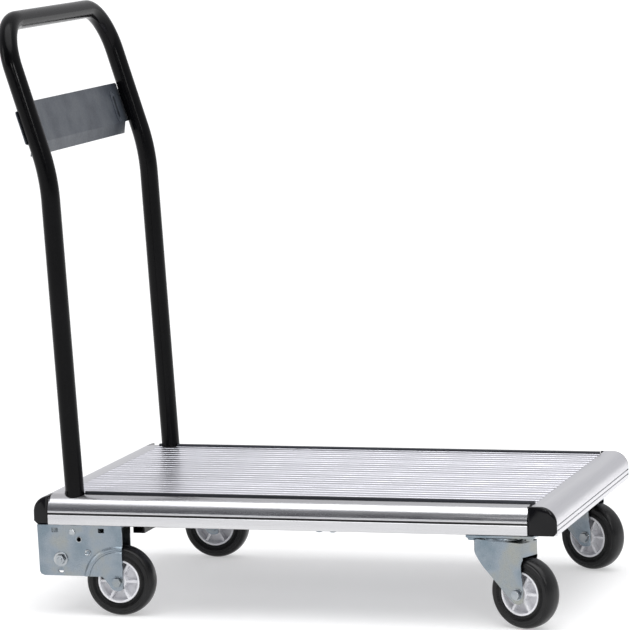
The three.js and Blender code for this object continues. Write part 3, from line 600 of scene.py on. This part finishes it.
def rear_bracket():
    back = -HALF_WIDTH + STEP
    space = lambda u, v, w: (u, w, v)
    holes = [circle(*BOLT_HOLE, 4.4), circle(*PIN_HOLE, 3.3), circle(*SPARE_HOLE, 3.0),
             circle(*LOW_HOLE, 4.2), circle(REAR_AXLE_X, WHEEL_RADIUS, AXLE_RADIUS + GAP)]
    windows = [rounded([(x, 119.0, 1), (x + 9, 119.0, 1), (x + 9, 125.4, 1), (x, 125.4, 1)])
               for x in (-353.0, -284.0)]
    outline = bracket_outline()
    outer = prism(outline, back, back + SHEET, space, holes + windows)
    inner = prism(outline, -INNER - SHEET, -INNER, space, holes)
    corners = [(BRACKET_X[0], back), (BRACKET_X[1], back), (BRACKET_X[1], -INNER), (BRACKET_X[0], -INNER)]
    roof = prism(corners, BRACKET_TOP - SHEET, BRACKET_TOP, plain)
    # the joggle: a raised band that follows the wheel, clipped to the plate's own outline
    bore = AXLE_RADIUS + GAP
    bead = [(41.5, 0.0), (42.6, 0.9), (44.0, 0.7), (45.4, -0.5), (47.0, -0.7), (48.6, 0.2), (50.4, 1.9)]
    disc = lathe([(bore, -HALF_WIDTH), *((r, -HALF_WIDTH + lift) for r, lift in bead),
                  (50.4, back + 0.6), (bore, back + 0.6)], y_space(REAR_AXLE_X, WHEEL_RADIUS), 96)
    band = combine(disc, [prism(outline, -HALF_WIDTH - 1, back + 1, space)], "INTERSECT")
    body = combine(outer, [inner, roof, band], "UNION")
    return combine(body, [post_hole(TUBE_RADIUS + 1.5, 118, DECK_TOP)], "DIFFERENCE")


both_sides("rear_bracket", rear_bracket(), "zinc_steel", 0.6)
FACE = -HALF_WIDTH + STEP - GAP
INSIDE = -INNER + GAP


def clamp_bolt():
    """The big bolt: wide washer, hex nut and the threaded end that stands out of it."""
    space = y_space(*BOLT_HOLE)
    washer = lathe([(4.0, FACE), (10.2, FACE), (10.6, FACE - 0.4), (10.6, FACE - 1.1), (10.0, FACE - 1.6),
                    (4.0, FACE - 1.6)], space, 48)
    head = hexagon(7.4, FACE - 6.4, FACE - 1.5, space)
    stub = lathe([(AXIS, FACE - 8.0), (3.2, FACE - 8.0), (3.9, FACE - 7.4), (3.9, FACE - 6.0),
                  (AXIS, FACE - 6.0)], space, 32)
    return merged(head, washer, stub, lathe(threaded(4.0, FACE - 1.2, INSIDE + 9), space, 28))


both_sides("bracket_bolt", clamp_bolt(), "zinc_steel", 0.3, look="bolt_steel")
dimple = lathe([(2.2, FACE + 0.3), (5.0, FACE + 0.3), (4.7, FACE - 0.5), (3.9, FACE - 0.9),
                (2.8, FACE - 0.3)], y_space(*DIMPLE), 36)
both_sides("bracket_dimple", dimple, "zinc_steel", nodes=False, look="bolt_steel")
both_sides("bracket_nut", nut(y_space(*BOLT_HOLE), 4.0, INSIDE, INSIDE + 6.4), "zinc_steel", 0.25)
both_sides("handle_pin", lathe([
    (AXIS, FACE - 1.6), (3.4, FACE - 1.6), (4.6, FACE - 0.8), (4.6, FACE), (2.8, FACE), (2.8, INSIDE),
    (4.6, INSIDE), (4.6, INSIDE + 1.2), (3.6, INSIDE + 1.6), (AXIS, INSIDE + 1.6)],
    y_space(*PIN_HOLE), 32), "zinc_steel", look="bolt_steel")
both_sides("rear_axle", bolt(y_space(REAR_AXLE_X, WHEEL_RADIUS), AXLE_RADIUS, -HALF_WIDTH - GAP, INSIDE + 9),
           "zinc_steel", 0.25)
both_sides("rear_axle_nut", nut(y_space(REAR_AXLE_X, WHEEL_RADIUS), AXLE_RADIUS, INSIDE, INSIDE + 6.4),
           "zinc_steel", 0.25)
eyelet = lathe([(3.0, FACE + 0.3), (4.6, FACE + 0.3), (4.4, FACE - 0.5), (3.4, FACE - 0.6)],
               y_space(*SPARE_HOLE), 32)
both_sides("bracket_eyelet", eyelet, "zinc_steel", nodes=False, look="bolt_steel")

# ------------------------------------------------------------------ handle
UPPER = Vector((-math.sin(UPPER_LEAN), math.cos(UPPER_LEAN)))
LOWER = (POST_BEND - POST_FOOT).normalized()


def handle_route():
    below, above = POST_BEND - LOWER * BEND_SETBACK, POST_BEND + UPPER * BEND_SETBACK
    start = POST_BEND + UPPER * (GRIP_RISE - CORNER_RADIUS)
    half = [Vector((p.x, -POST_Y, p.y)) for p in (POST_FOOT, POST_FOOT.lerp(below, 0.5), below)]
    for step in range(1, 17):
        t = step / 16
        p = below * (1 - t) ** 2 + POST_BEND * 2 * t * (1 - t) + above * t * t
        half.append(Vector((p.x, -POST_Y, p.y)))
    half.append(Vector((start.x, -POST_Y, start.y)))
    for step in range(1, 25):
        turn = math.pi / 2 * step / 24
        p = start + UPPER * CORNER_RADIUS * math.sin(turn)
        half.append(Vector((p.x, -POST_Y + CORNER_RADIUS * (1 - math.cos(turn)), p.y)))
    grip = POST_BEND + UPPER * GRIP_RISE
    return half + [Vector((grip.x, 0, grip.y))] + [Vector((p.x, -p.y, p.z)) for p in reversed(half)]


piece("handle_tube_skin", pipe(handle_route(), TUBE_RADIUS - SKIN, TUBE_RADIUS - TUBE_WALL), "chassis",
      "black_steel", ("handle_tube",), angle=60)

PLATE_BACK = -TUBE_RADIUS - 1.5 - GAP


def plate_space(u, v, w):
    """(along Y, up the lean, out of the plane) on the back of the posts."""
    return (POST_BEND.x + UPPER.x * v + UPPER.y * (w + PLATE_BACK), u,
            POST_BEND.y + UPPER.y * v - UPPER.x * (w + PLATE_BACK))


def handle_plate():
    sheet = 1.5
    half, ear, fold, low, high, ear_high = 212.0, 222.0, 50.0, 33.0, 110.0, 100.0
    slot_y, slot_low, slot_high, slot_half, rim = 178.0, 52.0, 97.0, 6.5, 2.4
    outline = rounded([(-half, fold, 0), (half, fold, 0), (ear, fold + 2, 2), (ear, ear_high, 5),
                       (half, ear_high, 1), (half, high, 4), (-half, high, 4), (-half, ear_high, 1),
                       (-ear, ear_high, 5), (-ear, fold + 2, 2)])
    slots = [slot_outline(sign * slot_y, slot_low, slot_high, slot_half) for sign in (-1, 1)]
    face = prism(outline, 0, sheet, plate_space, slots)
    turn = math.radians(24)
    wide = POST_Y - TUBE_RADIUS - 1

    def flange_space(u, v, w):
        return plate_space(u, fold + v * math.cos(turn) - w * math.sin(turn),
                           v * math.sin(turn) + w * math.cos(turn))

    flange = prism([(-wide, low - fold), (wide, low - fold), (wide, 0.6), (-wide, 0.6)],
                   0, sheet, flange_space)
    rims = [prism(slot_outline(sign * slot_y, slot_low - rim, slot_high + rim, slot_half + rim),
                  -3.4, sheet + 1.2, plate_space, [slot]) for sign, slot in zip((-1, 1), slots)]
    return combine(face, [flange, *rims], "UNION")


piece("handle_plate_skin", handle_plate(), "chassis", "slate_plate", ("handle_plate",), 0.35)


# ------------------------------------------------------------------ wheels
def tyre_profile():
    """Half section of the tyre, mirrored: shoulder groove, tread crown, ridges near the hub."""
    inner = HUB_RADIUS + GAP
    side = [(inner, TREAD_HALF - 0.6), (33.0, TREAD_HALF - 0.2)]
    for ridge in range(3):
        r = 34.2 + ridge * 1.5
        side += [(r, TREAD_HALF - 0.1), (r + 0.5, TREAD_HALF - 0.7), (r + 1.0, TREAD_HALF - 0.1)]
    side += [(41.2, TREAD_HALF), (43.4, TREAD_HALF - 0.3), (44.2, TREAD_HALF - 1.4), (45.0, TREAD_HALF - 1.5),
             (46.0, TREAD_HALF - 2.2), (47.6, TREAD_HALF - 3.8), (48.7, TREAD_HALF - 6.4),
             (49.6, TREAD_HALF - 9.6), (WHEEL_RADIUS - SKIN, TREAD_HALF - 13.2)]
    return side + [(r, -along) for r, along in reversed(side)]


def hub_shape(space):
    rim, web, boss_half, rib_half = TREAD_HALF - 0.8, 2.5, 15.2, 12.5
    inner = HUB_RADIUS - 3.2
    half = [(BORE_RADIUS, boss_half - 0.5), (BORE_RADIUS + 0.5, boss_half), (9.8, boss_half),
            (10.5, boss_half - 0.7), (10.9, web + 1.2), (12.0, web), (inner - 1.4, web),
            (inner - 0.3, web + 1.2), (inner, rim - 0.6),
            (inner + 0.6, rim), (HUB_RADIUS - 0.5, rim), (HUB_RADIUS, rim - 0.5)]
    body = lathe(half + [(r, -along) for r, along in reversed(half)], space, 72)
    ribs = []
    for index in range(6):
        turn = 2 * math.pi * index / 6
        side = lambda u, v, w, t=turn: space(u * math.cos(t) - v * math.sin(t),
                                             u * math.sin(t) + v * math.cos(t), w)
        ribs.append(prism([(9.5, -1.7), (inner + 0.8, -1.7), (inner + 0.8, 1.7), (9.5, 1.7)],
                          -rib_half, rib_half, side))
    return combine(body, ribs, "UNION")


def wheel(name, bodies, space):
    """Tyre, hub and bush of one wheel; bodies gives what the wheel and its bush ride on."""
    spin, still = bodies
    piece(f"{name}_tyre_skin", lathe(tyre_profile(), space, 112), spin, "tyre_rubber",
          (f"{name}_tyre",), angle=40)
    piece(f"{name}_hub_skin", hub_shape(space), spin, "hub_plastic", (f"{name}_hub",), 0.35)
    r, R = AXLE_RADIUS + GAP, BORE_RADIUS - GAP
    piece(f"{name}_bush_skin", lathe([(r, -16.7), (r + 0.3, -17), (R - 0.3, -17), (R, -16.7), (R, 16.7),
                                      (R - 0.3, 17), (r + 0.3, 17), (r, 16.7)], space, 36),
          still, "bush_bronze", (f"{name}_bush",))


for side, sign in SIDES:
    wheel(f"rear_wheel_{side}", (f"rear_wheel_{side}", "chassis"),
          lambda u, v, w, sign=sign: (REAR_AXLE_X + u, sign * REAR_WHEEL_Y + w, WHEEL_RADIUS + v))

# ------------------------------------------------------------------ swivel casters
PLATE_HALF = (48.0, 24.5)
PLATE_TOP = RAIL_BOTTOM - GAP
PLATE_LOW = PLATE_TOP - 3.2
RACE_LOW = PLATE_LOW - GAP - 4.4
CROWN_TOP = RACE_LOW - GAP
LEG_IN, LEG_SHEET = 17.8, 2.6
LEG_OUT = LEG_IN + LEG_SHEET
CROWN_FRONT, CROWN_REAR = 45.0, -37.5
FRONT_CORNER, REAR_CORNER = 7.0, 5.0
LEG_REAR_LOW, LEG_BOSS, LEG_FRONT = 108.0, 14.0, 43.0
LEG_PULL, LEG_BEND = Vector((-33.0, 97.0)), Vector((-20.0, 83.0))
KINGPIN = 6.0
TYRE_ROOM = 1.5
PLATE_BOLT = (40, 17)
WASHER, THIN_HEAD = 1.1, 0.75


def leg_outline():
    """Rear edge swept into a straight slope, which meets the axle boss on its tangent."""
    top = CROWN_TOP - 0.8
    start = Vector((CROWN_REAR, LEG_REAR_LOW))
    sweep = [tuple(start * (1 - t) ** 2 + LEG_PULL * 2 * t * (1 - t) + LEG_BEND * t * t)
             for t in (i / 10 for i in range(1, 11))]
    run = Vector((TRAIL, WHEEL_RADIUS)) - LEG_BEND
    slope = math.degrees(math.atan2(run.y, run.x) - math.asin(LEG_BOSS / run.length))
    front = -math.degrees(math.acos((LEG_FRONT - TRAIL) / LEG_BOSS))
    boss = arc(TRAIL, WHEEL_RADIUS, LEG_BOSS, slope - 90, front, 16)
    return [(CROWN_REAR, top), (CROWN_REAR, LEG_REAR_LOW), *sweep, *boss,
            (LEG_FRONT, 56), (41.6, 74), (41, 90), (42.4, 96), (CROWN_FRONT, 99), (CROWN_FRONT, top)]


def crown_outline():
    front_x, rear_x = CROWN_FRONT - FRONT_CORNER, CROWN_REAR + REAR_CORNER
    front_y, rear_y = LEG_OUT - FRONT_CORNER, LEG_OUT - REAR_CORNER
    return (arc(front_x, -front_y, FRONT_CORNER, -90, 0, 6) + arc(front_x, front_y, FRONT_CORNER, 0, 90, 6)
            + arc(rear_x, rear_y, REAR_CORNER, 90, 180, 6) + arc(rear_x, -rear_y, REAR_CORNER, 180, 270, 6))


def cross_wall(low, start, stop):
    """A wall from leg to leg, from a height up to the crown."""
    across = [(-LEG_OUT, low), (LEG_OUT, low), (LEG_OUT, CROWN_TOP), (-LEG_OUT, CROWN_TOP)]
    return prism(across, start, stop, lambda u, v, w: (w, u, v))


def fork():
    side = lambda u, v, w: (u, w, v)
    crown = prism(crown_outline(), CROWN_TOP - LEG_SHEET, CROWN_TOP, plain)
    legs = [prism(leg_outline(), *((-LEG_OUT, -LEG_IN) if sign < 0 else (LEG_IN, LEG_OUT)), side)
            for sign in (-1, 1)]
    front_wall = cross_wall(2 * WHEEL_RADIUS + TYRE_ROOM, CROWN_FRONT - LEG_SHEET, CROWN_FRONT)
    rear_wall = cross_wall(LEG_REAR_LOW, CROWN_REAR, CROWN_REAR + LEG_SHEET)
    body = combine(crown, [*legs, front_wall, rear_wall], "UNION")
    # trims whatever stands outside the crown's own plan
    body = combine(body, [prism(crown_outline(), 30, CROWN_TOP + 1, plain)], "INTERSECT")
    axle = rod(AXLE_RADIUS + GAP, -LEG_OUT - 2, LEG_OUT + 2, y_space(TRAIL, WHEEL_RADIUS), 28)
    pin = rod(KINGPIN + GAP, 90, CROWN_TOP + 1, plain, 32)
    return combine(body, [axle, pin], "DIFFERENCE")


def race():
    inner, top = KINGPIN + GAP, PLATE_LOW - GAP
    return lathe([(inner, RACE_LOW + 1.4), (22, RACE_LOW + 1.4), (22.4, RACE_LOW), (25.8, RACE_LOW),
                  (27, RACE_LOW + 0.9), (27, top - 1.6), (26.4, top - 0.6), (25, top), (inner, top)],
                 plain, 72)


def kingpin():
    """Pin with a round head that hangs under the fork's crown."""
    under = CROWN_TOP - LEG_SHEET - 1.5 - GAP
    return lathe([(AXIS, under - 3.4), (8.9, under - 3.4), (9.5, under - 2.8), (9.5, under),
                  (KINGPIN, under), (KINGPIN, PLATE_TOP - 0.4), (AXIS, PLATE_TOP - 0.4)], plain, 36)


def caster_plate():
    holes = [circle(a * PLATE_BOLT[0], b * PLATE_BOLT[1], 4.4) for a in (-1, 1) for b in (-1, 1)]
    holes.append(circle(0, 0, KINGPIN + GAP, 32))
    x, y = PLATE_HALF
    outline = rounded([(-x, -y, 4), (x, -y, 4), (x, y, 4), (-x, y, 4)])
    return prism(outline, PLATE_LOW, PLATE_TOP, plain, holes)


def z_bolt(x, y, face, radius=3.6):
    """A thin hex head below a face that looks down, with a washer and a shank up into the frame.

    Under a caster plate the head stays above the fork's crown, which sweeps round below it.
    """
    space = lambda u, v, w: (x + u, y + v, w)
    washer = lathe([(radius, face), (radius * 2.0, face), (radius * 2.0, face - WASHER),
                    (radius, face - WASHER)], space, 32)
    head = hexagon(radius * 1.7, face - WASHER - radius * THIN_HEAD, face - 1.0, space)
    shank = rod(radius, face - WASHER, face + 6, space, 24)
    return merged(head, washer, shank)


for side, sign in SIDES:
    name = f"caster_{side}"
    turn = Matrix.Rotation(CASTER_TURN[side], 3, "Z")
    home = Vector((SWIVEL[0], sign * SWIVEL[1], 0))
    fixed = lambda co, home=home: co + home
    turned = lambda co, home=home, turn=turn: turn @ co + home
    add = lambda stem, bm, body, move, bevel=0.0, name=name, look=None: piece(
        f"{name}_{stem}_skin", copied(bm, move), body, "zinc_steel", (f"{name}_{stem}",), bevel, look=look)
    add("plate", caster_plate(), "chassis", fixed, 0.5)
    add("race", race(), "chassis", fixed)
    add("kingpin", kingpin(), "chassis", fixed)
    add("fork", fork(), name, turned, 0.7)
    face, along = LEG_OUT + GAP, y_space(TRAIL, WHEEL_RADIUS)
    add("axle", bolt(along, AXLE_RADIUS, -face, face + 8), name, turned, 0.25, look="bolt_steel")
    add("axle_nut", nut(along, AXLE_RADIUS, face, face + 6.4), name, turned, 0.25)
    wheel(f"front_wheel_{side}", (f"front_wheel_{side}", name),
          lambda u, v, w, home=home, turn=turn: turn @ Vector((TRAIL + u, w, WHEEL_RADIUS + v)) + home)
    for number, (a, b) in enumerate([(-1, -1), (-1, 1), (1, -1), (1, 1)], 1):
        x, y = home.x + a * PLATE_BOLT[0], home.y + b * PLATE_BOLT[1]
        piece(f"{name}_plate_bolt_{number}", z_bolt(x, y, PLATE_LOW - 0.05),
              "chassis", "zinc_steel", bevel=0.25)

# ------------------------------------------------------------------ cross-members
for side, sign in SIDES:
    for number, x in enumerate((37.0, 57.0), 1):
        piece(f"middle_member_bolt_{side}_{number}", z_bolt(x, sign * 226.0, RAIL_BOTTOM - 0.05, 2.6),
              "chassis", "zinc_steel", bevel=0.2)
for name, look in (("rear_cross_member", "black_steel"), ("front_cross_member", "black_steel"),
                   ("middle_cross_member", "zinc_steel")):
    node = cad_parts[name]
    for slot in node.material_slots:
        slot.material = MATERIALS[look]
    soft = node.modifiers.new("edges", "BEVEL")
    soft.width = 0.6 * MM
    soft.segments = 2
    soft.limit_method = "ANGLE"


# ------------------------------------------------------------------ studio
def plain_surface(name, color, rough, glow):
    mat = bpy.data.materials.new(name)
    mat.use_nodes = True
    shader = mat.node_tree.nodes["Principled BSDF"]
    shader.inputs["Base Color"].default_value = (*color, 1)
    shader.inputs["Roughness"].default_value = rough
    shader.inputs["Emission Color"].default_value = (1, 1, 1, 1)
    shader.inputs["Emission Strength"].default_value = glow
    return mat


floor_mesh = bpy.data.meshes.new("floor")
REACH = 90.0
floor_mesh.from_pydata([(-REACH, -REACH, 0), (REACH, -REACH, 0), (REACH, REACH, 0), (-REACH, REACH, 0)],
                       [], [(0, 1, 2, 3)])
floor = bpy.data.objects.new("floor", floor_mesh)
floor_mesh.materials.append(plain_surface("floor", (0.62, 0.62, 0.62), 0.9, 0.42))
bpy.context.collection.objects.link(floor)

world = bpy.data.worlds.new("studio")
bpy.context.scene.world = world
world.use_nodes = True
world_tree = world.node_tree
direction = world_tree.nodes.new("ShaderNodeTexCoord")
split = world_tree.nodes.new("ShaderNodeSeparateXYZ")
sky = world_tree.nodes.new("ShaderNodeValToRGB")
CAMERA_SIDE, TURN, FAR_SIDE = (0.12, 0.12, 0.135, 1), (0.62, 0.63, 0.65, 1), (0.88, 0.88, 0.90, 1)
span = world_tree.nodes.new("ShaderNodeMapRange")
span.inputs["From Min"].default_value = -1.0
span.inputs["From Max"].default_value = 1.0
sky.color_ramp.elements[0].position, sky.color_ramp.elements[0].color = 0.02, CAMERA_SIDE
sky.color_ramp.elements[1].position, sky.color_ramp.elements[1].color = 0.56, FAR_SIDE
middle_sky = sky.color_ramp.elements.new(0.26)
middle_sky.color = TURN
world_tree.links.new(direction.outputs["Generated"], split.inputs["Vector"])
world_tree.links.new(split.outputs["Y"], span.inputs["Value"])
world_tree.links.new(span.outputs["Result"], sky.inputs["Fac"])
world_tree.links.new(sky.outputs["Color"], world_tree.nodes["Background"].inputs["Color"])
world_tree.nodes["Background"].inputs["Strength"].default_value = 0.8
sun_data = bpy.data.lights.new("sky_light", "SUN")
sun_data.energy = 1.7
sun_data.angle = math.radians(62)
sun = bpy.data.objects.new("sky_light", sun_data)
sun.rotation_euler = (math.radians(14), math.radians(8), 0)
bpy.context.collection.objects.link(sun)


def softbox(name, place, aim, size, power):
    light = bpy.data.lights.new(name, "AREA")
    light.shape = "RECTANGLE"
    light.size, light.size_y = size
    light.energy = power
    lamp = bpy.data.objects.new(name, light)
    lamp.location = place
    lamp.rotation_euler = (Vector(aim) - Vector(place)).to_track_quat("-Z", "Y").to_euler()
    bpy.context.collection.objects.link(lamp)


softbox("overhead", (0.2, -0.3, 3.0), (0, 0, 0.2), (2.6, 2.0), 14)
softbox("front_key", (1.8, -3.2, 1.9), (0, 0, 0.3), (0.40, 0.55), 16)
softbox("cap_sparkle", (0.10, -2.9, 1.41), (0.37, -0.24, 0.15), (0.22, 0.22), 4)
softbox("left_fill", (-3.0, -1.4, 1.4), (0, 0, 0.4), (0.8, 1.4), 8)

AZIMUTH, ELEVATION, ROLL = math.radians(16.538), math.radians(7.172), math.radians(-1.656)
AIM = Vector((-0.0097, 0.0257, 0.3969))
DISTANCE = 5.6658
FOCAL_PIXELS, FRAME_HEIGHT_PX, SENSOR = 3930.44, 630, 36.0
back = Vector((math.sin(AZIMUTH) * math.cos(ELEVATION), -math.cos(AZIMUTH) * math.cos(ELEVATION),
               math.sin(ELEVATION)))
right = Vector((math.cos(AZIMUTH), math.sin(AZIMUTH), 0))
up = back.cross(right)
level = Matrix.Rotation(ROLL, 3, back)
camera_data = bpy.data.cameras.new("camera")
camera_data.sensor_fit = "VERTICAL"
camera_data.sensor_height = SENSOR
camera_data.lens = FOCAL_PIXELS * SENSOR / FRAME_HEIGHT_PX
camera = bpy.data.objects.new("camera", camera_data)
columns = Matrix((level @ right, level @ up, back)).transposed()
camera.matrix_world = Matrix.Translation(AIM + back * DISTANCE) @ columns.to_4x4()
bpy.context.collection.objects.link(camera)
bpy.context.scene.camera = camera
bpy.context.scene.view_settings.view_transform = "Standard"
